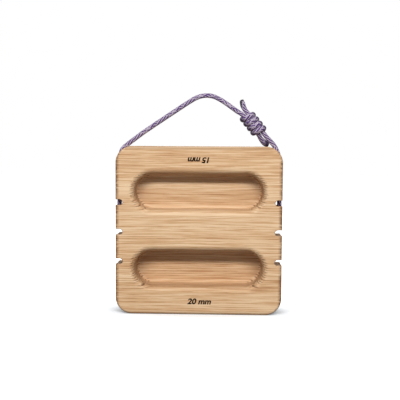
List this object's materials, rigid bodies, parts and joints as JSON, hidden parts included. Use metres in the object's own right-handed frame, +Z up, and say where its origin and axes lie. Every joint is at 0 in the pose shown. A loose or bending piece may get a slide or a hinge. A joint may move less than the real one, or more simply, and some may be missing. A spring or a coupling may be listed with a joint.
{
  "type": "portable hangboard",
  "caption": "Square oak finger board with two full-round finger pockets, side notches and grooves, strung with a knotted loop of braided cord.",
  "frame": {"origin": "under the board's centre, on the surface that the board stands on", "axes": "+Z up towards the cord loop, -Y out of the front face with the finger pockets, +X to the right seen from the front"},
  "size_m": [0.1502, 0.028, 0.1999],
  "materials": {
    "oiled_oak": "sanded and oiled solid oak, satin, grain across the width",
    "braided_cord": "braided polyamide sheath, purple with pale flecks"
  },
  "bodies": {
    "board": {"oak_board": "oiled_oak", "cord_in_board": "braided_cord"},
    "cord_loop": {"cord_left_leg": "braided_cord", "cord_right_leg": "braided_cord", "knot": "braided_cord", "upper_tail": "braided_cord", "lower_tail": "braided_cord"}
  },
  "joints": [
    {"name": "loop_swing", "type": "hinge", "parent": "board", "child": "cord_loop", "pos_m": [0, 0, 0.1581], "axis": [1, 0, 0], "range_deg": [-90, 90]}
  ]
}
